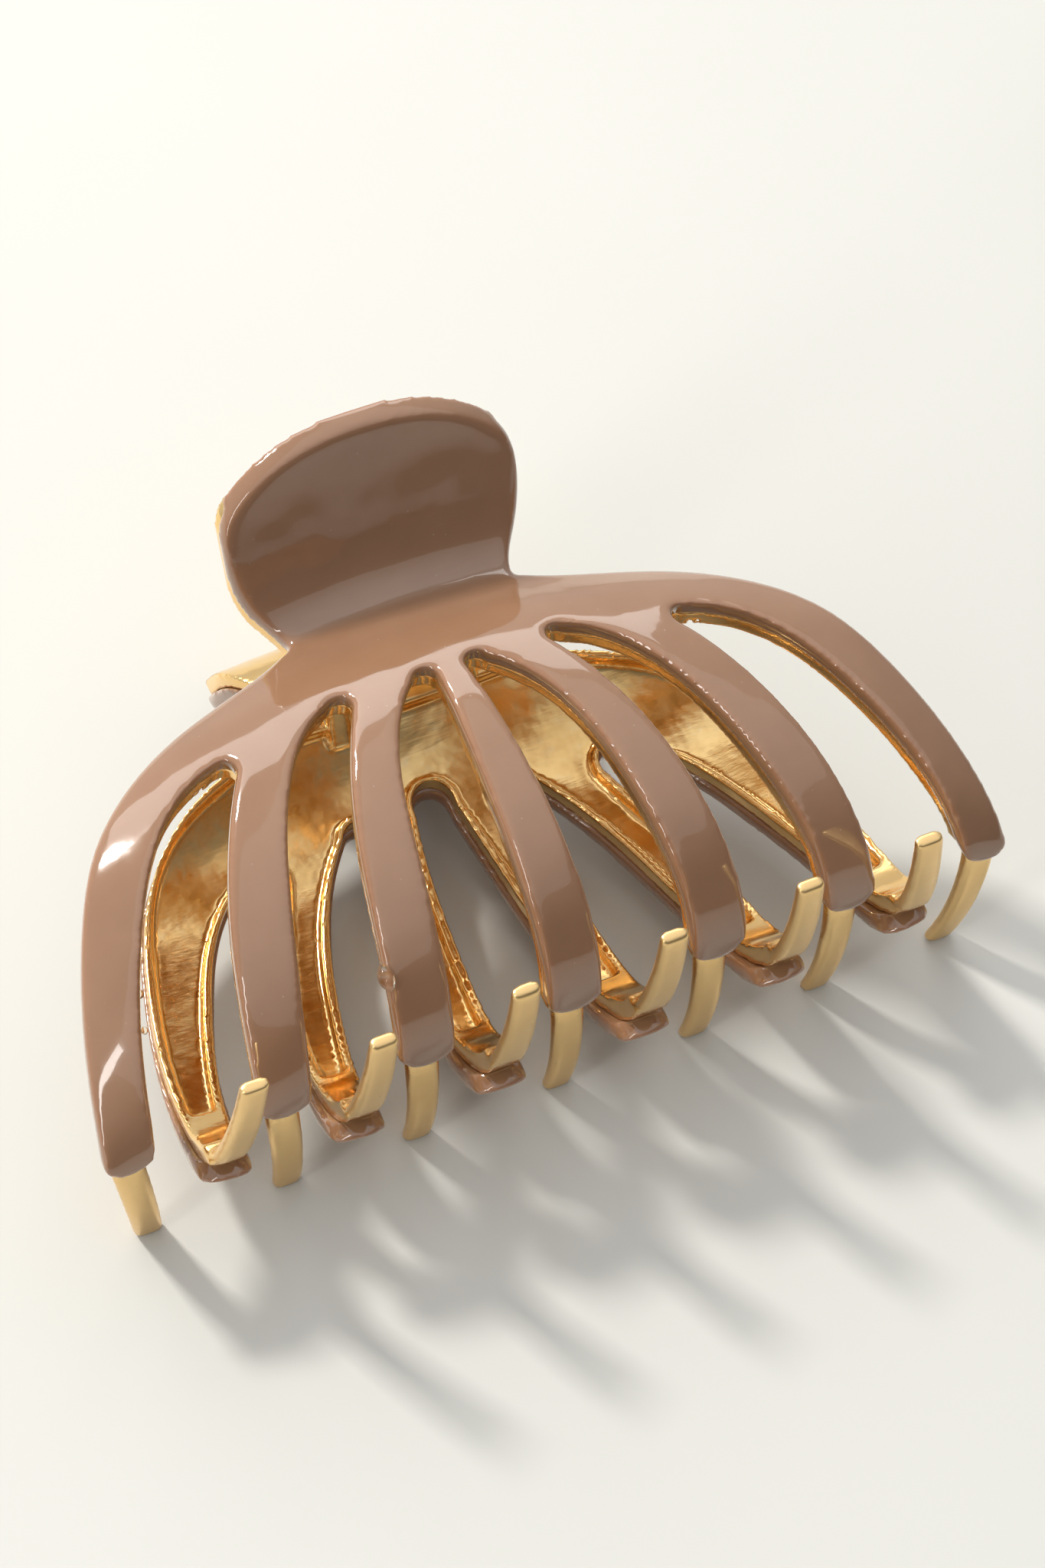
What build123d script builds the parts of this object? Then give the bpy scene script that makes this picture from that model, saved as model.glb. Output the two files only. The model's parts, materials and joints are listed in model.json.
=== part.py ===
"""Large metal claw clip: two cast jaws with resin enamel faces, a hinge pin and a torsion spring.

The clip is drawn upright in its own clip frame and laid down at the very end.
Clip frame: X runs along the hinge pin, S runs from the pin towards the tooth tips, and H is the height
above the plane where the two jaws meet.  The front jaw is above that plane and the rear jaw below it.
"""
from build123d import *
import math
import os

# ---------------------------------------------------------------- driving dimensions, mm
ARCH_APEX_S = 23.6        # where the jaw's arch is highest
ARCH_CENTRE_H = -2.6      # the arch's ellipses are centred this far past the meeting plane
ARCH_POWER = 2.4          # the forward half is a superellipse of this power: squarer than an ellipse
ARCH_RISE = 20.2          # from that centre to the enamel's crown
FRONT_REACH = 26.8        # from the crown forward to the front jaw's tooth line
REAR_REACH = 30.6         # the rear jaw reaches further, so that its teeth stand outside
ARCH_REACH_LOSS = 0.6     # the outer tines stand this much further back
ARCH_BACK = 26.0          # from the crown back towards the neck, at the middle
ARCH_BACK_EDGE = 9.0      # the same at the jaw's outer edge
BOW_HALF_WIDTH = 60.0     # half width of the crown's bow, as an ellipse
BACK_HALF_WIDTH = 57.0    # half width over which the back reach shrinks
NECK_ANGLE = 50.0         # the arch's angle, from its centre, where the shoulder runs straight to the neck
NECK_RUN = 4.5
NECK_RADIUS = 5.5
FRONT_TAB_LEAN = 54.0     # slope of each tab above its neck, degrees
REAR_TAB_LEAN = 68.0
TAB_STRAIGHT = 4.5
TAB_RADIUS = 70.0
TAB_CURVE = 13.0          # degrees that the tab curves further

ENAMEL = 2.2              # thickness of the enamel
WEB = 0.9                 # thickness of the metal behind it
RIM = 1.4                 # height of the rims along the metal's edges
RIM_WIDTH = 1.1
RIM_WIDTH_TOP = 0.6       # the rims are this wide where the tines spring from the shoulder
METAL_INSET = 0.35        # the metal stops this far inside the enamel's edge
NECK_S = 2.6              # the tab's outline takes over from the jaw's here
NECK_HALF_WIDTH = 13.2

FRONT_ENAMEL_END = 12.0   # the arch's angle where the enamel ends on each tine
REAR_ENAMEL_END = 22.0
ENAMEL_END_RADIUS = 3.35
ENAMEL_END_HEIGHT = 2.6   # height of the rounded end
ENAMEL_END_S = 40.0       # the tines' rounded ends lie beyond this
LIP = 0.9                 # the enamel wraps this far round the tab's free end
LIP_H = 19.0              # and does so above this height
TAB_METAL_DROP = 2.5      # the tab's metal ends this far below the enamel

TAPER_START_S = 39.0      # the metal of a tine narrows from here to its tooth
TAPER_END_S = 49.0
TAPER = 0.75
CHANNEL_END_S = 43.5
HOLLOW_START_S = 5.5      # the hollow behind the web starts here, ahead of the neck

TOOTH_WIDTH = 4.0
TOOTH_TIP_WIDTH = 3.3
TOOTH_THICKNESS = 2.0
TOOTH_TIP_THICKNESS = 1.6
TOOTH_ROOT_H = 1.5
TOOTH_TIP_H = -17.0       # the teeth reach this far past the meeting plane
FRONT_SPLAY = 2.5         # how far a tip stands out beyond its tooth's root
REAR_SPLAY = 0.4
FRONT_BOW = 1.3           # how far the tooth's middle bows out beyond the line from root to tip
REAR_BOW = 0.8
TOOTH_LEAN = 2.8          # how far the outermost tip leans towards the middle

PIN_RADIUS = 1.1
PIN_HEAD_RADIUS = 1.9
PIN_HEAD = 0.8
RUNNING_GAP = 0.06
LUG_RADIUS = 2.9
LUG_FOOT_FRONT = 8.4
LUG_FOOT_BACK = -4.5
FRONT_LUG_X = (3.8, 6.1)
REAR_LUG_X = (6.4, 8.9)

WIRE_RADIUS = 0.5
COIL_RADIUS = 2.3
COIL_PITCH = 1.1
COIL_TURNS = 5.0
SPRING_GAP = 0.05         # between a spring's leg and its tab
LEG_STATION = 4           # the legs end at this point of the side profile, counted from the tab's end

# Slots between the tines: (x, s) down one edge from its tooth end, the top, and the other edge back.
FRONT_SLOTS = (
    (((2.9, 58), (3.1, 42), (2.7, 28), (1.95, 17), (1.7, 14.1)), (2.75, 12.5),
     ((4.3, 13.5), (7.5, 17.5), (10.5, 24.7), (12.4, 34.5), (13.6, 44.5), (13.9, 58))),
    (((20.3, 58), (20.1, 44), (18.7, 34), (15.9, 23.5), (13.2, 17.3), (11.5, 14.0)), (12.1, 12.4),
     ((13.7, 12.6), (17.4, 15.1), (20.8, 19.5), (24.3, 26.7), (27.4, 36.3), (29.6, 45.5), (30.0, 58))),
    (((36.2, 58), (35.8, 45), (33.9, 35), (30.5, 25.4), (27.6, 19.6), (25.6, 16.3)), (26.1, 14.7),
     ((27.6, 14.6), (31.7, 16.3), (36.2, 20.5), (41.1, 28.5), (45.0, 38.0), (47.1, 47), (47.6, 58))),
)
FRONT_EDGE = ((NECK_HALF_WIDTH, NECK_S), (20.3, 5.2), (28.3, 7.8), (36.2, 12.2), (42.2, 17.9), (46.8, 25.8),
              (50.0, 34.2), (52.3, 43.5), (53.3, 58.0))
FRONT_TINES = (0.0, 17.0, 33.1, 50.6)

REAR_SLOTS = (
    (((-5.4, 58), (-5.2, 46), (-4.4, 34), (-3.3, 24), (-2.0, 16.2)), (0.0, 13.6),
     ((2.0, 16.2), (3.3, 24), (4.4, 34), (5.2, 46), (5.4, 58))),
    (((11.7, 58), (11.5, 46), (10.8, 36), (9.5, 26.5), (7.8, 17.7)), (8.9, 15.2),
     ((10.8, 16.1), (14.6, 21.6), (17.9, 29.5), (20.4, 38.5), (21.6, 46.5), (21.8, 58))),
    (((28.3, 58), (27.9, 46), (26.2, 36), (23.2, 26.6), (19.9, 18.9)), (20.7, 16.5),
     ((22.9, 16.9), (28.0, 21.7), (32.4, 30), (35.6, 39.0), (36.8, 47), (37.0, 58))),
)
REAR_EDGE = ((NECK_HALF_WIDTH, NECK_S), (19.0, 5.2), (25.3, 7.8), (31.3, 12.2), (36.0, 18.1), (39.2, 26.2),
             (41.4, 34.6), (42.8, 43.5), (43.3, 58.0))
REAR_TINES = (8.55, 25.05, 40.3)

# The tab widens from the neck, as (x, s), and its free end is rounded, as (x, h).
TAB_SIDE = ((NECK_HALF_WIDTH, NECK_S), (13.5, 1.0), (14.6, -1.4), (15.8, -3.2), (16.8, -5.2), (17.2, -8.0))
TAB_END = ((17.2, 14.4), (17.1, 17.0), (16.4, 18.8), (14.7, 20.4), (12.2, 21.9), (8.8, 23.2), (4.8, 24.0),
           (0.0, 24.3))

FAR = 70.0                # reach of the cutting prisms
SECTIONS = (0.0, 9.0, 18.0, 27.0, 35.0, 42.0, 48.0, 52.5, 56.0)


# ---------------------------------------------------------------- the arched surface
def crown(x):
    """Height of the enamel's crown above the arch's centre, at distance x from the middle."""
    return ARCH_RISE * math.sqrt(1 - (x / BOW_HALF_WIDTH) ** 2)


def reach(x, forward):
    return forward - ARCH_REACH_LOSS * (x / 50.0) ** 2


def back(x):
    return ARCH_BACK_EDGE + (ARCH_BACK - ARCH_BACK_EDGE) * (1 - (x / BACK_HALF_WIDTH) ** 2)


def arch_point(x, depth, angle, forward):
    """Point (s, h) on the arch, depth below the enamel's face; angle 90 is the crown, 180 the back."""
    a = math.radians(angle)
    if angle >= 90:
        return (ARCH_APEX_S + (back(x) - depth) * math.cos(a), ARCH_CENTRE_H + (crown(x) - depth) * math.sin(a))
    along, up = math.cos(a) ** (2 / ARCH_POWER), math.sin(a) ** (2 / ARCH_POWER)
    return (ARCH_APEX_S + (reach(x, forward) - depth) * along, ARCH_CENTRE_H + (crown(x) - depth) * up)


def side_curve(x, depth, forward, tab_lean):
    """Side profile (s, h) of one layer, from the tab's free end over the neck and the arch to the teeth."""
    start = arch_point(x, depth, 180 - NECK_ANGLE, forward)
    rise = math.atan2((crown(x) - depth) * math.cos(math.radians(NECK_ANGLE)),
                      (back(x) - depth) * math.sin(math.radians(NECK_ANGLE)))
    start = (start[0] - NECK_RUN * math.cos(rise), start[1] - NECK_RUN * math.sin(rise))
    radius = NECK_RADIUS + depth
    centre = (start[0] - radius * math.sin(rise), start[1] + radius * math.cos(rise))
    lean = math.radians(tab_lean)
    neck = [
        (centre[0] + radius * math.sin(a), centre[1] - radius * math.cos(a))
        for a in (rise - k / 4 * (rise + lean) for k in range(1, 5))
    ]
    foot = (neck[-1][0] - TAB_STRAIGHT * math.cos(lean), neck[-1][1] + TAB_STRAIGHT * math.sin(lean))
    hub = (foot[0] + (TAB_RADIUS + depth) * math.sin(lean), foot[1] + (TAB_RADIUS + depth) * math.cos(lean))
    tab = [
        (hub[0] - (TAB_RADIUS + depth) * math.sin(a), hub[1] - (TAB_RADIUS + depth) * math.cos(a))
        for a in (lean + math.radians(TAB_CURVE) * k / 3 for k in range(0, 4))
    ]
    arch = [arch_point(x, depth, angle, forward) for angle in range(int(180 - NECK_ANGLE), -1, -10)]
    return tab[::-1] + neck[::-1] + arch


def at(x, s, h):
    """A point of the clip frame as a vector: the tips face -Y and height is +Z."""
    return Vector(x, -s, h)


def under(depth, forward, tab_lean):
    """Everything below the layer surface that lies `depth` inside the enamel's face."""
    faces = []
    for x in [-v for v in SECTIONS[:0:-1]] + list(SECTIONS):
        curve = side_curve(x, depth, forward, tab_lean)
        top = Spline(*[at(x, s, h) for s, h in curve])
        tail = Polyline(
            at(x, *curve[-1]), at(x, curve[-1][0], -8), at(x, -FAR, -8), at(x, -FAR, curve[0][1]), at(x, *curve[0])
        )
        faces.append(make_face([top] + tail.edges()))
    return loft(faces)


# ---------------------------------------------------------------- outlines
def taper(s):
    """How much narrower a tine's metal is at s than its enamel."""
    u = min(max((s - TAPER_START_S) / (TAPER_END_S - TAPER_START_S), 0), 1)
    return METAL_INSET + TAPER * u * u * (3 - 2 * u)


def rim(s):
    """How far inside the enamel's edge the hollow behind the web starts."""
    u = min(max((s - 13.0) / 12.0, 0), 1)
    return taper(s) + RIM_WIDTH_TOP + (RIM_WIDTH - RIM_WIDTH_TOP) * u


def plan(points):
    return [Vector(x, -s) for x, s in points]


def slot_face(slot, growth, sign):
    """One slot, its edges moved out by growth(s) from its middle, open at the tooth end."""
    near, top, far = slot
    near = plan([(sign * (x - growth(s)), s) for x, s in near])
    far = plan([(sign * (x + growth(s)), s) for x, s in far])
    peak = Vector(sign * top[0], growth(top[1]) - top[1])
    edges = Spline(*near).edges() + [ThreePointArc(near[-1], peak, far[0]).edge()] + Spline(*far).edges()
    return make_face(edges + [Line(far[-1], near[0]).edge()])


def jaw_plan(edge, slots, inset, end_s):
    """The jaw's outline seen square to the meeting plane, with its slots open at the tooth end."""
    neck = (edge[0][0] - inset(NECK_S), NECK_S - 0.5)
    side = [neck] + [(x - inset(s), s + inset(s) * (s < 10)) for x, s in edge[1:]]
    mirror = [(-x, s) for x, s in side]
    face = make_face(
        Spline(*plan(side)).edges()
        + [Line(*plan([side[-1], mirror[-1]])).edge()]
        + Spline(*plan(mirror[::-1])).edges()
        + [Line(*plan([mirror[0], side[0]])).edge()]
    )
    for slot in slots:
        for sign in (1, -1) if slot[1][0] > 0 else (1,):
            face -= slot_face(slot, inset, sign)
    return face & Pos(0, -end_s / 2) * Rectangle(4 * FAR, end_s)


def half_outline(half, low):
    """A face from the right half of its outline, mirrored and closed straight at `low`."""
    right = [Vector(x, y) for x, y in half]
    left = [Vector(-x, y) for x, y in half]
    foot = (Vector(right[0].X, low), Vector(left[0].X, low))
    if abs(half[-1][0]) < 1e-6:
        return make_face(Spline(*(right + left[-2::-1])).edges() + Polyline(left[0], foot[1], foot[0], right[0]).edges())
    top = Polyline(right[-1], Vector(right[-1].X, 3 * FAR), Vector(left[-1].X, 3 * FAR), left[-1])
    return make_face(Spline(*right).edges() + top.edges() + Spline(*left[::-1]).edges() + [Line(left[0], right[0]).edge()])


def tab_end(inset, drop):
    """Keeps what lies inside the tab's rounded free end, seen along S."""
    foot, height = TAB_END[0][1], TAB_END[-1][1] - TAB_END[0][1]
    half = [(max(x - inset, 0), foot + (h - foot) * (1 - drop / height)) for x, h in TAB_END]
    return Pos(0, -NECK_S, 0) * extrude(Plane.XZ * half_outline(half, -10), -FAR)


def tab_keep(inset, drop):
    sides = half_outline([(x - inset, -s) for x, s in TAB_SIDE], -NECK_S)
    return (Pos(0, 0, -8) * extrude(sides, 60)) & tab_end(inset, drop)


def jaw_keep(edge, slots, inset, end_s=FAR):
    jaw = Pos(0, 0, -8) * extrude(jaw_plan(edge, slots, inset, end_s), 60)
    return jaw & Pos(0, -NECK_S - FAR, 0) * Box(4 * FAR, 2 * FAR, 4 * FAR)


# ---------------------------------------------------------------- one jaw
def enamel_keep(tines, end_angle):
    """Keeps the enamel down to a round end on each tine, and all of it behind the tines' ends."""
    behind = Pos(0, FAR - ENAMEL_END_S, 0) * Box(4 * FAR, 2 * FAR, 4 * FAR)
    ahead = Sketch()
    pitch = tines[-1] - tines[-2]
    for x in both_sides(tines):
        low = ARCH_CENTRE_H + crown(x) * math.sin(math.radians(end_angle))
        centre = Pos(x, low + ENAMEL_END_HEIGHT)
        ahead += centre * Ellipse(ENAMEL_END_RADIUS, ENAMEL_END_HEIGHT)
        ahead += centre * Pos(0, FAR / 2) * Rectangle(pitch, FAR)
    return behind + Pos(0, -ENAMEL_END_S, 0) * extrude(Plane.XZ * ahead, FAR)


def tooth(x, forward, splay, bow):
    """One bare tooth: a tapered bar that bows out from its tine and leans to the middle."""
    stations = 6
    middle = ENAMEL + TOOTH_THICKNESS / 2
    sections = []
    for k in range(stations + 1):
        u = k / stations
        h = TOOTH_ROOT_H + (TOOTH_TIP_H - TOOTH_ROOT_H) * u
        up = max(0.0, h - ARCH_CENTRE_H) / (crown(x) - middle)
        s = ARCH_APEX_S + (reach(x, forward) - middle) * (1 - up ** ARCH_POWER) ** (1 / ARCH_POWER)
        s += splay * u + 4 * bow * u * (1 - u)
        lean = math.copysign(TOOTH_LEAN * (x / 50.0) ** 2 * u, x)
        width = TOOTH_WIDTH + (TOOTH_TIP_WIDTH - TOOTH_WIDTH) * u
        thick = TOOTH_THICKNESS + (TOOTH_TIP_THICKNESS - TOOTH_THICKNESS) * u
        sections.append(Plane(at(x - lean, s, h)) * RectangleRounded(width, thick, 0.48 * thick))
    return loft(sections)


def lug(x_range, hole):
    """A hinge lug: round about the pin, widening to its foot inside the jaw."""
    gusset = Polygon(
        (LUG_RADIUS, 0), (-LUG_FOOT_BACK, 12), (-LUG_FOOT_BACK, 24), (-LUG_FOOT_FRONT, 24), (-LUG_FOOT_FRONT, 12),
        (-LUG_RADIUS, 0), align=None,
    )
    profile = Circle(LUG_RADIUS) + gusset - Circle(hole)
    return Pos(x_range[0], 0, 0) * extrude(Plane.YZ * profile, x_range[1] - x_range[0])


def jaw(edge, slots, tines, forward, tab_lean, end_angle, splay, bow, lug_x, hole):
    """The cast metal jaw and its enamel, drawn above the meeting plane."""
    face, back_face, web_face, rim_face = [
        under(depth, forward, tab_lean) for depth in (0, ENAMEL, ENAMEL + WEB, ENAMEL + WEB + RIM)
    ]
    outline = jaw_keep(edge, slots, lambda s: 0.0) & enamel_keep(tines, end_angle)
    enamel = (face & (outline + tab_keep(0.0, 0.0))) - back_face
    wrap = tab_end(0.0, 0.0) - tab_end(METAL_INSET, TAB_METAL_DROP)
    wrap &= Pos(0, FAR, LIP_H + FAR) * Box(4 * FAR, 2 * FAR, 2 * FAR)
    enamel += (back_face & wrap) - under(ENAMEL + LIP, forward, tab_lean)

    above = Pos(0, 0, FAR) * Box(4 * FAR, 4 * FAR, 2 * FAR)
    outline = jaw_keep(edge, slots, taper) + tab_keep(METAL_INSET, TAB_METAL_DROP)
    metal = (back_face & outline & above) - rim_face
    hollow = jaw_keep(edge, slots, rim, CHANNEL_END_S)
    hollow &= Pos(0, -HOLLOW_START_S - FAR, 0) * Box(4 * FAR, 2 * FAR, 4 * FAR)
    metal -= web_face & hollow
    for x in both_sides(tines):
        metal += tooth(x, forward, splay, bow)
    for sign in (1, -1):
        metal += mirrored(lug(lug_x, hole) & back_face, sign)
    return metal, enamel


def mirrored(shape, sign):
    return shape if sign > 0 else mirror(shape, Plane.YZ)


def both_sides(places):
    return [sign * x for x in places for sign in ((1, -1) if x > 0 else (1,))]


# ---------------------------------------------------------------- hinge pin and spring
def hinge_pin():
    """A plain rivet through all four lugs, headed at both ends."""
    half = REAR_LUG_X[1] + RUNNING_GAP
    shank = Cylinder(PIN_RADIUS, 2 * half)
    pin = shank
    for side in (1, -1):
        head = Pos(0, 0, side * (half + PIN_HEAD / 2)) * Cylinder(PIN_HEAD_RADIUS, PIN_HEAD)
        pin += head
    return Rot(0, 90, 0) * pin


def tangent_angle(target, leaving):
    """Where a wire from the target meets the coil's circle, in degrees round +X from +Y."""
    away = math.hypot(*target)
    aim = math.degrees(math.atan2(target[1], target[0]))
    open_angle = math.degrees(math.acos(COIL_RADIUS / away))
    return aim - open_angle if leaving else aim + open_angle


def coil_point(x, angle):
    a = math.radians(angle)
    return Vector(x, COIL_RADIUS * math.cos(a), COIL_RADIUS * math.sin(a))


def torsion_spring():
    """A close coil round the pin, with a leg behind each tab that pushes the tabs apart."""
    depth = ENAMEL + WEB + RIM + WIRE_RADIUS + SPRING_GAP
    front_s, front_h = side_curve(0, depth, FRONT_REACH, FRONT_TAB_LEAN)[LEG_STATION]
    rear_s, rear_h = side_curve(0, depth, REAR_REACH, REAR_TAB_LEAN)[LEG_STATION]
    first = tangent_angle((-rear_s, -rear_h), leaving=False)
    last = tangent_angle((-front_s, front_h), leaving=True)
    turns = COIL_TURNS + ((last - first) % 360) / 360
    length = turns * COIL_PITCH
    start = Plane((-length / 2, 0, 0), x_dir=coil_point(0, first), z_dir=(1, 0, 0))
    coil_line = start * Helix(COIL_PITCH, length, COIL_RADIUS)
    coil = sweep(Plane(coil_line @ 0, z_dir=coil_line % 0) * Circle(WIRE_RADIUS), coil_line)
    pieces = [coil]
    for end, tip in ((0, at(-length / 2, rear_s, -rear_h)), (1, at(length / 2, front_s, front_h))):
        root = coil_line @ end
        axis = tip - root
        leg = extrude(Plane(root, z_dir=axis) * Circle(WIRE_RADIUS), axis.length)
        pieces += [leg, Pos(*root) * Sphere(WIRE_RADIUS * 1.02), Pos(*tip) * Sphere(WIRE_RADIUS)]
    return Part() + pieces


# ---------------------------------------------------------------- build
def lower(shape):
    """Turns an upper piece over to the other side of the meeting plane."""
    return mirror(shape, Plane.XY)


def resting_tilt(clip):
    """The tilt at which the clip's centre of mass lies lowest over the surface, and that surface's height."""
    points = {(round(p.Y, 2), round(p.Z, 2)) for p in clip.tessellate(0.05)[0]}
    centre = clip.center(CenterOf.MASS)

    def surface(tilt):
        a = math.radians(tilt)
        return min(y * math.sin(a) + z * math.cos(a) for y, z in points)

    def centre_height(tilt):
        a = math.radians(tilt)
        return centre.Y * math.sin(a) + centre.Z * math.cos(a) - surface(tilt)

    low, high = 0.0, 30.0
    while high - low > 0.001:
        third = (high - low) / 3
        if centre_height(low + third) < centre_height(high - third):
            high -= third
        else:
            low += third
    return low, surface(low)


def main():
    os.makedirs("parts", exist_ok=True)
    front_jaw, front_enamel = jaw(
        FRONT_EDGE, FRONT_SLOTS, FRONT_TINES, FRONT_REACH, FRONT_TAB_LEAN, FRONT_ENAMEL_END,
        FRONT_SPLAY, FRONT_BOW, FRONT_LUG_X, PIN_RADIUS + RUNNING_GAP,
    )
    rear_jaw, rear_enamel = jaw(
        REAR_EDGE, REAR_SLOTS, REAR_TINES, REAR_REACH, REAR_TAB_LEAN, REAR_ENAMEL_END,
        REAR_SPLAY, REAR_BOW, REAR_LUG_X, PIN_RADIUS,
    )
    pieces = {
        "front_jaw": front_jaw,
        "front_enamel": front_enamel,
        "rear_jaw": lower(rear_jaw),
        "rear_enamel": lower(rear_enamel),
        "hinge_pin": hinge_pin(),
        "torsion_spring": torsion_spring(),
    }
    tilt, floor = resting_tilt(Compound(list(pieces.values())))
    laid = {name: Rot(tilt, 0, 0) * shape for name, shape in pieces.items()}
    box = Compound(list(laid.values())).bounding_box()
    shift = Pos(0, -(box.min.Y + box.max.Y) / 2, -floor)
    print(f"tilt {tilt:.3f} degrees, hinge axis at {shift.position.Y:.3f}, {shift.position.Z:.3f}")
    for name, shape in laid.items():
        export_step(shift * shape, f"parts/{name}.step")


if __name__ == "__main__":
    main()
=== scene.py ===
import json
import math

import bmesh
import bpy
from mathutils import Matrix, Vector
from mathutils.bvhtree import BVHTree


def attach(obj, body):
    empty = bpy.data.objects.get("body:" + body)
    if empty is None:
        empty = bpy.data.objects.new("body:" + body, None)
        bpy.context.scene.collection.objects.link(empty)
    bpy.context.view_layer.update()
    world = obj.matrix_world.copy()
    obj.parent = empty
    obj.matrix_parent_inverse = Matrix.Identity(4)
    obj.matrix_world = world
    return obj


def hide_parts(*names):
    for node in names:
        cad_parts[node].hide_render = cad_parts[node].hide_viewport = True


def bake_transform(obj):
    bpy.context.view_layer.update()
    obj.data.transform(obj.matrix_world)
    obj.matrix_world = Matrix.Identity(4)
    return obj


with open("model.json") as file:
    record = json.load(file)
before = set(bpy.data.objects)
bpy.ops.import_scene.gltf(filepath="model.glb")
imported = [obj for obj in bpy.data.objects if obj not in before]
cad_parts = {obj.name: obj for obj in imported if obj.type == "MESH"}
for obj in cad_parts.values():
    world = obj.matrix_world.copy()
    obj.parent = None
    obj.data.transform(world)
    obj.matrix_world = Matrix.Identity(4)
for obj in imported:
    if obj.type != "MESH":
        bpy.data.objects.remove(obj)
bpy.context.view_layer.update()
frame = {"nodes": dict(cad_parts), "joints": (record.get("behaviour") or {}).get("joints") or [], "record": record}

# Looks of the claw clip: poured resin faces, plated metal, a riveted pin, a wound spring, and the studio.

MM = 0.001

record = frame["record"]
HINGE = Vector(frame["joints"][0]["pos_m"])
BITE_AXIS = Vector(record["mounts"][0]["axis"])          # from the pin towards the tooth tips
TILT = math.atan2(-BITE_AXIS.z, -BITE_AXIS.y)

# The clip frame: X along the pin, S towards the tips, H above the plane where the jaws meet.
S_AXIS = Vector((0, -math.cos(TILT), -math.sin(TILT)))
H_AXIS = Vector((0, -math.sin(TILT), math.cos(TILT)))

# Colours, linear.
RESIN_DARK = (0.272, 0.140, 0.074)
RESIN_LIGHT = (0.304, 0.162, 0.090)
RESIN_EDGE = (0.37, 0.172, 0.084)         # where light comes through the rounded edges
DUST = (0.62, 0.50, 0.42)
WORN_GOLD = (0.86, 0.70, 0.48)
TOOTH_GOLD = (0.84, 0.59, 0.28)
DROP_AMBER = (0.98, 0.90, 0.74)
DROP_CLEAR = (1.0, 0.96, 0.86)
TABLE_DARK = (0.600, 0.600, 0.568)
TABLE_LIGHT = (0.622, 0.622, 0.592)

# Plated metals: bright and deep tones, roughness where polished and where satin, and depth of the ripples.
CASTING_GOLD = {
    "bright": (0.95, 0.66, 0.30), "deep": (0.88, 0.56, 0.22),
    "polish": 0.15, "satin": 0.32, "ripple": 0.08,
}
PIN_GOLD = {
    "bright": (0.93, 0.68, 0.36), "deep": (0.82, 0.55, 0.25),
    "polish": 0.16, "satin": 0.25, "ripple": 0.08,
}
WIRE_GOLD = {
    "bright": (0.80, 0.66, 0.45), "deep": (0.62, 0.47, 0.28),
    "polish": 0.22, "satin": 0.30, "ripple": 0.04,
}

VOXEL = 0.28 * MM         # grain of the even meshes of the resin and the castings

RESIN_DEPTH = 2.2 * MM    # thickness of the resin on the metal
RESIN_EVEN = 2            # smoothing passes over all of the resin
RESIN_ROUND = 44          # further passes that round its free edges
BONDED = 0.25             # the resin stays put up to this share of its depth above the metal,
FREE = 0.60               # and is rounded fully from this share
EDGE_PULL = 0.45          # mm; resin that was drawn in this far counts wholly as edge

METAL_ROUND = 5           # passes that soften the casting's edges
TOOTH_ROUND = 10          # further passes on the teeth
TEETH_FROM_S = 30.0       # mm; all that is bare lies ahead of this,
BARE_FROM_H = 2.0         # mm; starts at this height over the meeting plane,
BARE_OVER_H = 4.0         # mm; and becomes fully bare over this drop

PIN_LENGTH = 17.9 * MM
PIN_RADIUS = 1.1 * MM
PIN_HEAD_RADIUS = 1.9 * MM
PIN_HEAD = 0.8 * MM
PIN_STEPS = 48            # points round the pin
DOME_STEPS = 10           # rings on each peened head
DOME_ANGLE = 9            # degrees from one ring to the next
DOME_FULLNESS = 0.6       # below 1, the dome is fuller than a ball
SNUG = 1.02               # the shank as drawn fills its holes by this much
HEAD_EDGE = 0.02 * MM     # height of the edge under each head
HEAD_UNDERCUT = 0.97

SPRING_WEAR = 0.25

# Stray drops of clear resin: name, place in the clip frame, and radii, in mm.
DROPS = (
    ("resin_drip", (-20.1, 43.0, 11.9), (0.8, 1.5, 1.1)),
    ("resin_dot_upper", (-43.6, 34.0, 8.4), (0.42, 0.48, 0.4)),
    ("resin_dot_lower", (-44.5, 37.6, 7.4), (0.36, 0.42, 0.36)),
)

FLOOR_HALF = 3.0
ROOM_COLOUR = (0.95, 0.955, 0.95, 1.0)
ROOM_BRIGHTEST = (-0.15, 0.72, 0.68)      # the direction of the room's brightest side
ROOM_SPAN = (-0.35, 0.95)                 # how squarely a direction faces that side, where the room is
ROOM_STRENGTH = (0.16, 0.80)              # dimmest and brightest, and how strong the light is there

# Area lights: name, place, aim, size in metres, power in watts, colour.
LIGHTS = (
    ("window", (-0.50, 0.92, 1.02), (0, 0, 0), (0.17, 0.17), 17.0, (1.0, 0.96, 0.90)),
    ("back_soft_box", (0.15, 1.05, 0.85), (0, 0, 0.02), (1.3, 0.6), 5.0, (1.0, 0.99, 0.97)),
    ("top_fill", (0.25, -0.25, 1.5), (0, 0, 0), (2.4, 1.8), 5.0, (0.97, 0.985, 1.0)),
    ("left_strip", (-0.80, -0.30, 0.55), (0, 0, 0.02), (0.10, 0.9), 2.2, (1.0, 0.98, 0.95)),
)

CAMERA_AZIMUTH = math.radians(-25.2)
CAMERA_ELEVATION = math.radians(48.4)
CAMERA_DISTANCE = 0.480
CAMERA_LENS = 106.2       # mm
CAMERA_FILM = 36.0        # mm, height
CAMERA_NEAR = 0.01
VIEW_TIP = math.radians(15.3)     # slope of the meeting plane in the camera's own level frame
LOOK_AT = Vector((-0.10, -35.33, 11.24)) * MM     # from the pin, in that level frame


def place(x, s, h):
    """A point of the clip frame, given in mm, in the row's frame."""
    return HINGE + Vector((x * MM, 0, 0)) + S_AXIS * (s * MM) + H_AXIS * (h * MM)


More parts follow.
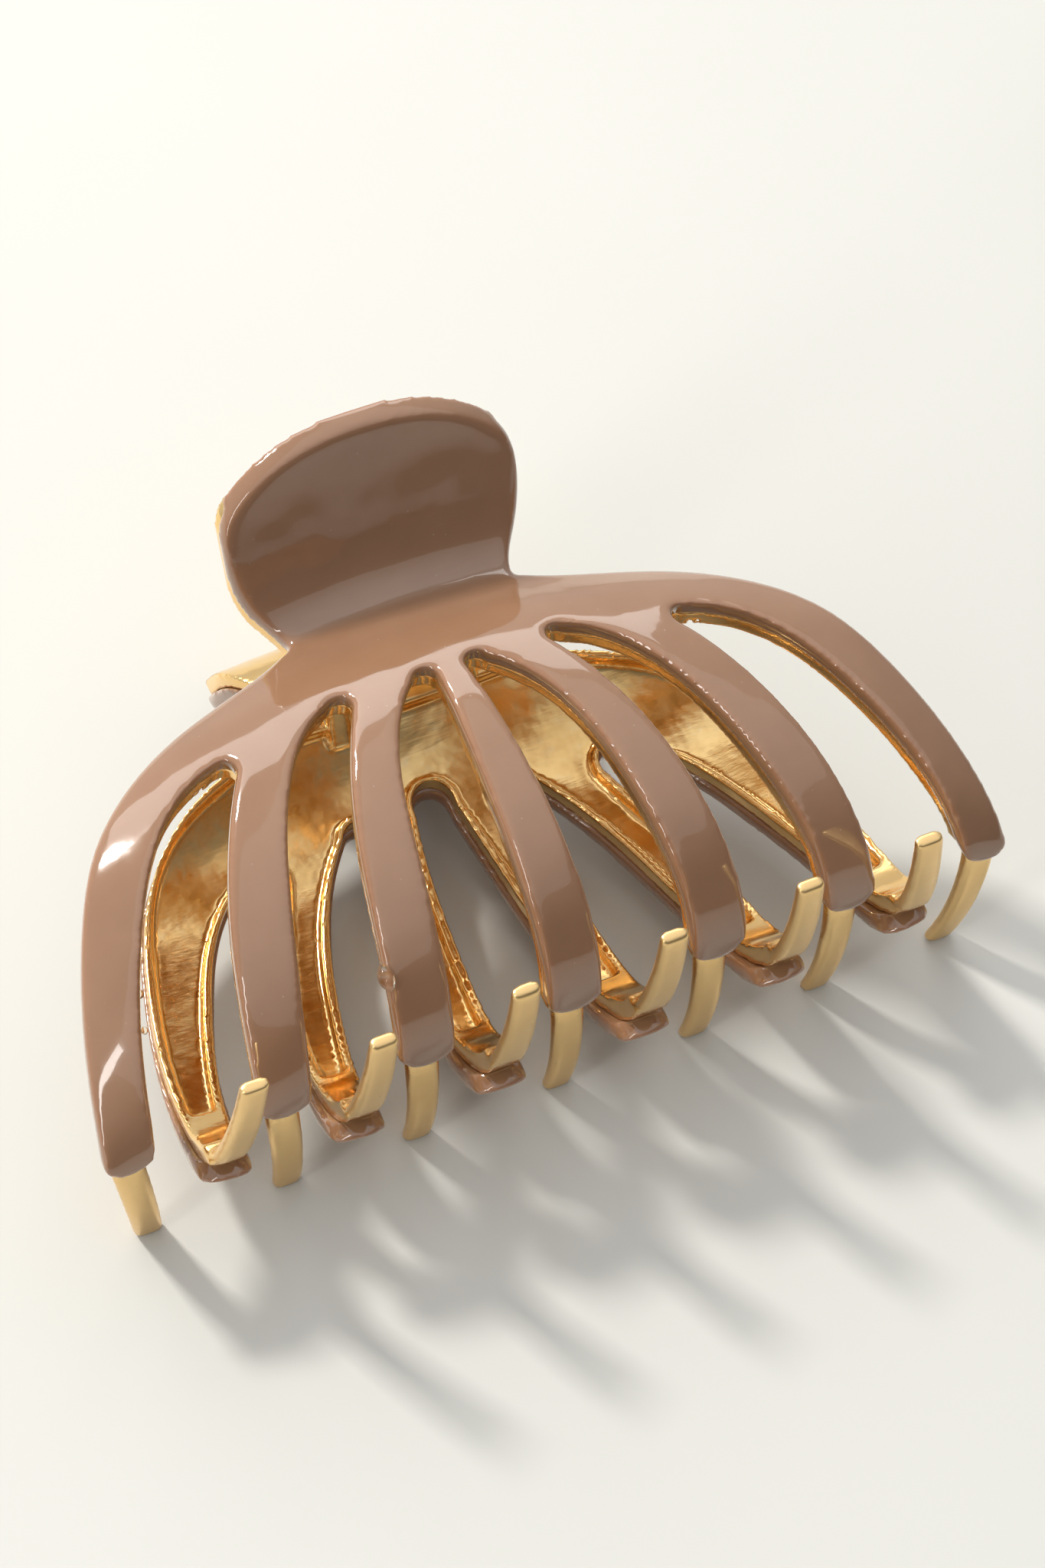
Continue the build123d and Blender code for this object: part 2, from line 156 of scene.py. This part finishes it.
# ---------------------------------------------------------------- node helpers
class Graph:
    """A material's node tree with short ways to add and join nodes."""

    def __init__(self, name):
        self.material = bpy.data.materials.new(name)
        self.material.use_nodes = True
        self.tree = self.material.node_tree
        self.shader = self.tree.nodes["Principled BSDF"]
        self.coords = self.tree.nodes.new("ShaderNodeTexCoord").outputs["Object"]

    def join(self, source, target):
        self.tree.links.new(source, target)

    def noise(self, scale, detail=3.0, roughness=0.5, coords=None):
        node = self.tree.nodes.new("ShaderNodeTexNoise")
        node.inputs["Scale"].default_value = scale
        node.inputs["Detail"].default_value = detail
        node.inputs["Roughness"].default_value = roughness
        self.join(coords or self.coords, node.inputs["Vector"])
        return node.outputs["Fac"]

    def stretched(self, scale):
        node = self.tree.nodes.new("ShaderNodeMapping")
        node.inputs["Scale"].default_value = scale
        self.join(self.coords, node.inputs["Vector"])
        return node.outputs["Vector"]

    def specks(self, scale, size):
        """1 in the middle of small round specks scattered over the surface, and 0 between them."""
        node = self.tree.nodes.new("ShaderNodeTexVoronoi")
        node.inputs["Scale"].default_value = scale
        self.join(self.coords, node.inputs["Vector"])
        return self.span(node.outputs["Distance"], size, 0.0, 0.0, 1.0)

    def span(self, value, low, high, to_low, to_high):
        """Carries a value from the range low..high over to the range to_low..to_high."""
        node = self.tree.nodes.new("ShaderNodeMapRange")
        node.inputs["From Min"].default_value = low
        node.inputs["From Max"].default_value = high
        node.inputs["To Min"].default_value = to_low
        node.inputs["To Max"].default_value = to_high
        self.join(value, node.inputs["Value"])
        return node.outputs["Result"]

    def math(self, operation, a, b):
        """Joins two values, each a number or another node's output."""
        node = self.tree.nodes.new("ShaderNodeMath")
        node.operation = operation
        for socket, value in zip(node.inputs, (a, b)):
            if isinstance(value, float):
                socket.default_value = value
            else:
                self.join(value, socket)
        return node.outputs[0]

    def mix(self, factor, a, b):
        """Blends two colours, each a tuple or another node's output."""
        node = self.tree.nodes.new("ShaderNodeMix")
        node.data_type = "RGBA"
        self.join(factor, node.inputs["Factor"])
        for name, value in (("A", a), ("B", b)):
            socket = [s for s in node.inputs if s.name == name and s.type == "RGBA"][0]
            if isinstance(value, tuple):
                socket.default_value = (*value, 1.0)
            else:
                self.join(value, socket)
        return [s for s in node.outputs if s.type == "RGBA"][0]

    def attribute(self, name):
        node = self.tree.nodes.new("ShaderNodeAttribute")
        node.attribute_name = name
        return node.outputs["Fac"]

    def bump(self, height, strength, distance, normal=None):
        node = self.tree.nodes.new("ShaderNodeBump")
        node.inputs["Strength"].default_value = strength
        node.inputs["Distance"].default_value = distance
        self.join(height, node.inputs["Height"])
        if normal:
            self.join(normal, node.inputs["Normal"])
        return node.outputs["Normal"]

    def set(self, **values):
        """Sets the shader's sockets, named with _ for each space."""
        for name, value in values.items():
            self.shader.inputs[name.replace("_", " ")].default_value = value


# ---------------------------------------------------------------- materials
def resin_material():
    """Glossy taupe resin: clouded inside, warm at its rounded edges, with faint waves and dust."""
    g = Graph("taupe_resin")
    cloud = g.noise(90.0, detail=4.0, roughness=0.55)
    body = g.mix(g.span(cloud, 0.3, 0.7, 0.0, 1.0), RESIN_DARK, RESIN_LIGHT)
    edge = g.span(g.attribute("edge"), 0.08, 0.75, 0.0, 0.75)
    body = g.mix(edge, body, RESIN_EDGE)
    dust = g.specks(420.0, size=0.055)
    body = g.mix(g.math("MULTIPLY", dust, 0.35), body, DUST)
    g.join(body, g.shader.inputs["Base Color"])
    smear = g.span(g.noise(260.0, detail=5.0, roughness=0.6), 0.35, 0.75, 0.07, 0.15)
    g.join(g.math("ADD", smear, g.math("MULTIPLY", dust, 0.25)), g.shader.inputs["Roughness"])
    wave = g.bump(g.noise(130.0, detail=1.0, roughness=0.4), strength=0.16, distance=0.0012)
    fine = g.bump(g.noise(900.0, detail=2.0), strength=0.03, distance=0.0002, normal=wave)
    dusty = g.bump(dust, strength=0.15, distance=0.0001, normal=fine)
    g.join(dusty, g.shader.inputs["Normal"])
    g.join(wave, g.shader.inputs["Coat Normal"])
    g.set(
        Subsurface_Weight=0.16, Subsurface_Radius=(1.0, 0.42, 0.22), Subsurface_Scale=0.0011,
        Coat_Weight=1.0, Coat_Roughness=0.025, Coat_IOR=1.53, IOR=1.5,
    )
    return g.material


def gold_material(name, bright, deep, polish, satin, ripple):
    """Gold plating on a casting: polished inside, satin on the teeth, with ripples and fine scratches."""
    g = Graph(name)
    bare = g.attribute("bare")
    pools = g.span(g.noise(150.0, detail=4.0, roughness=0.6), 0.32, 0.68, 0.0, 1.0)
    plated = g.mix(pools, deep, bright)
    worn = g.span(g.noise(700.0, detail=4.0, roughness=0.65), 0.55, 0.8, 0.0, 1.0)
    plated = g.mix(g.math("MULTIPLY", worn, 0.4), plated, WORN_GOLD)
    plated = g.mix(g.math("MULTIPLY", bare, 0.75), plated, TOOTH_GOLD)
    g.join(plated, g.shader.inputs["Base Color"])
    grain = g.span(g.noise(500.0, detail=5.0, roughness=0.7), 0.3, 0.7, -0.05, 0.07)
    rough = g.math("ADD", g.span(bare, 0.0, 1.0, polish, satin), grain)
    g.join(rough, g.shader.inputs["Roughness"])
    cast = g.bump(g.noise(330.0, detail=2.0), strength=ripple, distance=0.0006)
    scratches = g.noise(1.0, roughness=0.6, coords=g.stretched((240.0, 2600.0, 2600.0)))
    brushed = g.bump(scratches, strength=0.10, distance=0.0001, normal=cast)
    pitted = g.bump(g.specks(520.0, size=0.07), strength=-0.12, distance=0.0002, normal=brushed)
    g.join(pitted, g.shader.inputs["Normal"])
    g.set(Metallic=1.0)
    return g.material


def clear_resin_material():
    """A stray bead of clear resin, faintly amber."""
    g = Graph("clear_resin")
    tint = g.mix(g.noise(900.0, detail=2.0), DROP_AMBER, DROP_CLEAR)
    g.join(tint, g.shader.inputs["Base Color"])
    g.join(g.span(g.noise(1500.0), 0.3, 0.7, 0.02, 0.06), g.shader.inputs["Roughness"])
    g.set(Transmission_Weight=1.0, IOR=1.5)
    return g.material


def floor_material():
    """Smooth pale tabletop with a faint uneven sheen."""
    g = Graph("pale_tabletop")
    tone = g.span(g.noise(6.0, 3.0), 0.3, 0.7, 0.0, 1.0)
    g.join(g.mix(tone, TABLE_DARK, TABLE_LIGHT), g.shader.inputs["Base Color"])
    g.join(g.span(g.noise(40.0), 0.3, 0.7, 0.42, 0.52), g.shader.inputs["Roughness"])
    g.join(g.bump(g.noise(900.0), strength=0.02, distance=0.0002), g.shader.inputs["Normal"])
    return g.material


# ---------------------------------------------------------------- meshes
def apply_all(piece):
    """Turns a piece's mesh into what its modifiers make of it."""
    deps = bpy.context.evaluated_depsgraph_get()
    mesh = bpy.data.meshes.new_from_object(piece.evaluated_get(deps))
    piece.modifiers.clear()
    piece.data = mesh


def shaded(piece, material):
    piece.data.materials.clear()
    piece.data.materials.append(material)
    for polygon in piece.data.polygons:
        polygon.use_smooth = True
    return piece


def finish_mesh(piece, material, body):
    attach(piece, body)
    return shaded(piece, material)


def remeshed(node, name):
    """An even mesh of a CAD node's shape, as a new object."""
    piece = bpy.data.objects.new(name, frame["nodes"][node].data.copy())
    bpy.context.scene.collection.objects.link(piece)
    modifier = piece.modifiers.new("even", "REMESH")
    modifier.mode = "VOXEL"
    modifier.voxel_size = VOXEL
    apply_all(piece)
    return piece


def smooth(piece, passes, weights=None):
    """Smooths a piece, and returns how far each vertex moved, in mm."""
    before = [v.co.copy() for v in piece.data.vertices]
    modifier = piece.modifiers.new("round", "SMOOTH")
    modifier.factor = 0.5
    modifier.iterations = passes
    if weights:
        group = piece.vertex_groups.new(name="round")
        for index, weight in enumerate(weights):
            if weight > 0:
                group.add([index], weight, "REPLACE")
        modifier.vertex_group = "round"
    apply_all(piece)
    piece.vertex_groups.clear()
    return [(v.co - old).length / MM for v, old in zip(piece.data.vertices, before)]


def paint(piece, name, values):
    """Stores one value per vertex for the materials."""
    layer = piece.data.attributes.new(name, "FLOAT", "POINT")
    layer.data.foreach_set("value", values)


def resin_face(node, jaw_node, name, body, material):
    """The poured resin: flat against the casting, and drawn into a round pillow at its free edges."""
    piece = remeshed(node, name)
    metal = frame["nodes"][jaw_node].data
    tree = BVHTree.FromPolygons([v.co for v in metal.vertices], [p.vertices for p in metal.polygons])
    weights = []
    for vertex in piece.data.vertices:
        gap = tree.find_nearest(vertex.co)[3]
        weights.append(min(max((gap / RESIN_DEPTH - BONDED) / (FREE - BONDED), 0.0), 1.0))
    smooth(piece, RESIN_EVEN)
    moved = smooth(piece, RESIN_ROUND, weights)
    paint(piece, "edge", [min(m / EDGE_PULL, 1.0) for m in moved])
    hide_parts(node)
    return finish_mesh(piece, material, body)


def casting(node, name, body, side, material):
    """The cast jaw with softened edges; its teeth are marked as bare satin metal.

    side is 1 for the jaw above the meeting plane and -1 for the one below it.
    """
    piece = remeshed(node, name)
    smooth(piece, METAL_ROUND)
    bare = []
    for vertex in piece.data.vertices:
        local = vertex.co - HINGE
        run = local.dot(S_AXIS) / MM
        height = side * local.dot(H_AXIS) / MM
        share = min(max((BARE_FROM_H - height) / BARE_OVER_H, 0.0), 1.0)
        bare.append(share if run > TEETH_FROM_S else 0.0)
    smooth(piece, TOOTH_ROUND, bare)
    paint(piece, "bare", bare)
    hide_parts(node)
    return finish_mesh(piece, material, body)


def new_piece(name, mesh_builder):
    """A new object whose mesh the builder function fills."""
    mesh = bpy.data.meshes.new(name)
    bm = bmesh.new()
    mesh_builder(bm)
    bmesh.ops.recalc_face_normals(bm, faces=bm.faces)
    bm.to_mesh(mesh)
    bm.free()
    piece = bpy.data.objects.new(name, mesh)
    bpy.context.scene.collection.objects.link(piece)
    return piece


def rivet(material):
    """The hinge pin, its two ends peened to low domes."""
    half = PIN_LENGTH / 2
    dome = [
        (half + PIN_HEAD * math.sin(a), PIN_HEAD_RADIUS * math.cos(a) ** DOME_FULLNESS)
        for a in (math.radians(DOME_ANGLE * k) for k in range(DOME_STEPS))
    ]
    right = [(half, PIN_RADIUS * SNUG), (half + HEAD_EDGE, PIN_HEAD_RADIUS * HEAD_UNDERCUT)] + dome
    profile = [(-x, r) for x, r in right[::-1]] + right
    turns = [2 * math.pi * k / PIN_STEPS for k in range(PIN_STEPS)]

    def build(bm):
        rings = []
        for x, r in profile:
            ring = [HINGE + Vector((x, r * math.cos(a), r * math.sin(a))) for a in turns]
            rings.append([bm.verts.new(point) for point in ring])
        for a, b in zip(rings, rings[1:]):
            for k in range(PIN_STEPS):
                after = (k + 1) % PIN_STEPS
                bm.faces.new((a[k], a[after], b[after], b[k]))
        bm.faces.new(rings[0][::-1])
        bm.faces.new(rings[-1])

    piece = new_piece("rivet_pin", build)
    paint(piece, "bare", [0.0] * len(piece.data.vertices))
    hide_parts("hinge_pin")
    return finish_mesh(piece, material, "rear")


def spring(material):
    """The wound spring, taken over from the design and shaded smooth."""
    piece = bpy.data.objects.new("wound_spring", frame["nodes"]["torsion_spring"].data.copy())
    bpy.context.scene.collection.objects.link(piece)
    paint(piece, "bare", [SPRING_WEAR] * len(piece.data.vertices))
    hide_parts("torsion_spring")
    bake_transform(piece)
    return shaded(piece, material)


def bead(name, centre, size, material, body):
    """A drop of clear resin: a sphere pulled out of round."""
    def build(bm):
        bmesh.ops.create_uvsphere(bm, u_segments=28, v_segments=18, radius=1.0)
        for vertex in bm.verts:
            x, y, z = vertex.co
            sag = 1 + 0.18 * math.sin(2.1 * x + 1.0) + 0.12 * math.cos(2.7 * y)
            flat = Vector((x * size[0], y * size[1], 0)) * sag
            vertex.co = centre + (flat + Vector((0, 0, z * size[2]))) * MM

    piece = new_piece(name, build)
    return finish_mesh(piece, material, body)


# ---------------------------------------------------------------- the clip
def build_clip():
    resin = resin_material()
    gold = gold_material("gold_plating", **CASTING_GOLD)
    pin_gold = gold_material("pin_gold", **PIN_GOLD)
    wire = gold_material("wire_gold", **WIRE_GOLD)
    clear = clear_resin_material()

    resin_face("front_enamel", "front_jaw", "front_resin", "front", resin)
    resin_face("rear_enamel", "rear_jaw", "rear_resin", "rear", resin)
    casting("front_jaw", "front_casting", "front", 1, gold)
    casting("rear_jaw", "rear_casting", "rear", -1, gold)
    rivet(pin_gold)
    spring(wire)
    for name, centre, radii in DROPS:
        bead(name, place(*centre), radii, clear, "front")


# ---------------------------------------------------------------- the studio
def build_floor():
    def build(bm):
        bmesh.ops.create_grid(bm, x_segments=1, y_segments=1, size=FLOOR_HALF)

    floor = new_piece("tabletop", build)
    floor.data.materials.append(floor_material())


def area_light(name, place_at, aim_at, size, power, colour):
    light = bpy.data.lights.new(name, "AREA")
    light.shape = "RECTANGLE"
    light.size, light.size_y = size
    light.energy = power
    light.color = colour
    lamp = bpy.data.objects.new(name, light)
    bpy.context.scene.collection.objects.link(lamp)
    lamp.location = place_at
    lamp.rotation_euler = (Vector(aim_at) - Vector(place_at)).to_track_quat("-Z", "Y").to_euler()


def build_world():
    """A soft room, brightest behind and above the clip and dim in front of it."""
    world = bpy.data.worlds.new("soft_room")
    world.use_nodes = True
    tree = world.node_tree
    coords = tree.nodes.new("ShaderNodeTexCoord")
    facing = tree.nodes.new("ShaderNodeVectorMath")
    facing.operation = "DOT_PRODUCT"
    facing.inputs[1].default_value = Vector(ROOM_BRIGHTEST).normalized()
    tree.links.new(coords.outputs["Generated"], facing.inputs[0])
    level = tree.nodes.new("ShaderNodeMapRange")
    level.interpolation_type = "SMOOTHSTEP"
    level.inputs["From Min"].default_value = ROOM_SPAN[0]
    level.inputs["From Max"].default_value = ROOM_SPAN[1]
    level.inputs["To Min"].default_value = ROOM_STRENGTH[0]
    level.inputs["To Max"].default_value = ROOM_STRENGTH[1]
    tree.links.new(facing.outputs["Value"], level.inputs["Value"])
    sky = tree.nodes["Background"]
    sky.inputs["Color"].default_value = ROOM_COLOUR
    tree.links.new(level.outputs["Result"], sky.inputs["Strength"])
    bpy.context.scene.world = world


def build_lights():
    for light in LIGHTS:
        area_light(*light)


def build_camera():
    """The camera keeps its place over the clip's own meeting plane, however the clip lies."""
    tip = Matrix.Rotation(TILT - VIEW_TIP, 3, "X")
    cos_e, sin_e = math.cos(CAMERA_ELEVATION), math.sin(CAMERA_ELEVATION)
    back = Vector((math.sin(CAMERA_AZIMUTH) * cos_e, -math.cos(CAMERA_AZIMUTH) * cos_e, sin_e))
    right = Vector((math.cos(CAMERA_AZIMUTH), math.sin(CAMERA_AZIMUTH), 0))
    up = back.cross(right)
    axes = Matrix([tip @ right, tip @ up, tip @ back]).transposed().to_4x4()
    position = HINGE + tip @ (LOOK_AT + CAMERA_DISTANCE * back)
    data = bpy.data.cameras.new("camera")
    data.sensor_fit = "VERTICAL"
    data.sensor_height = CAMERA_FILM
    data.lens = CAMERA_LENS
    data.clip_start = CAMERA_NEAR
    camera = bpy.data.objects.new("camera", data)
    camera.matrix_world = Matrix.Translation(position) @ axes
    bpy.context.scene.collection.objects.link(camera)
    bpy.context.scene.camera = camera


build_camera()
build_clip()
build_floor()
build_world()
build_lights()
bpy.context.scene.view_settings.view_transform = "Standard"
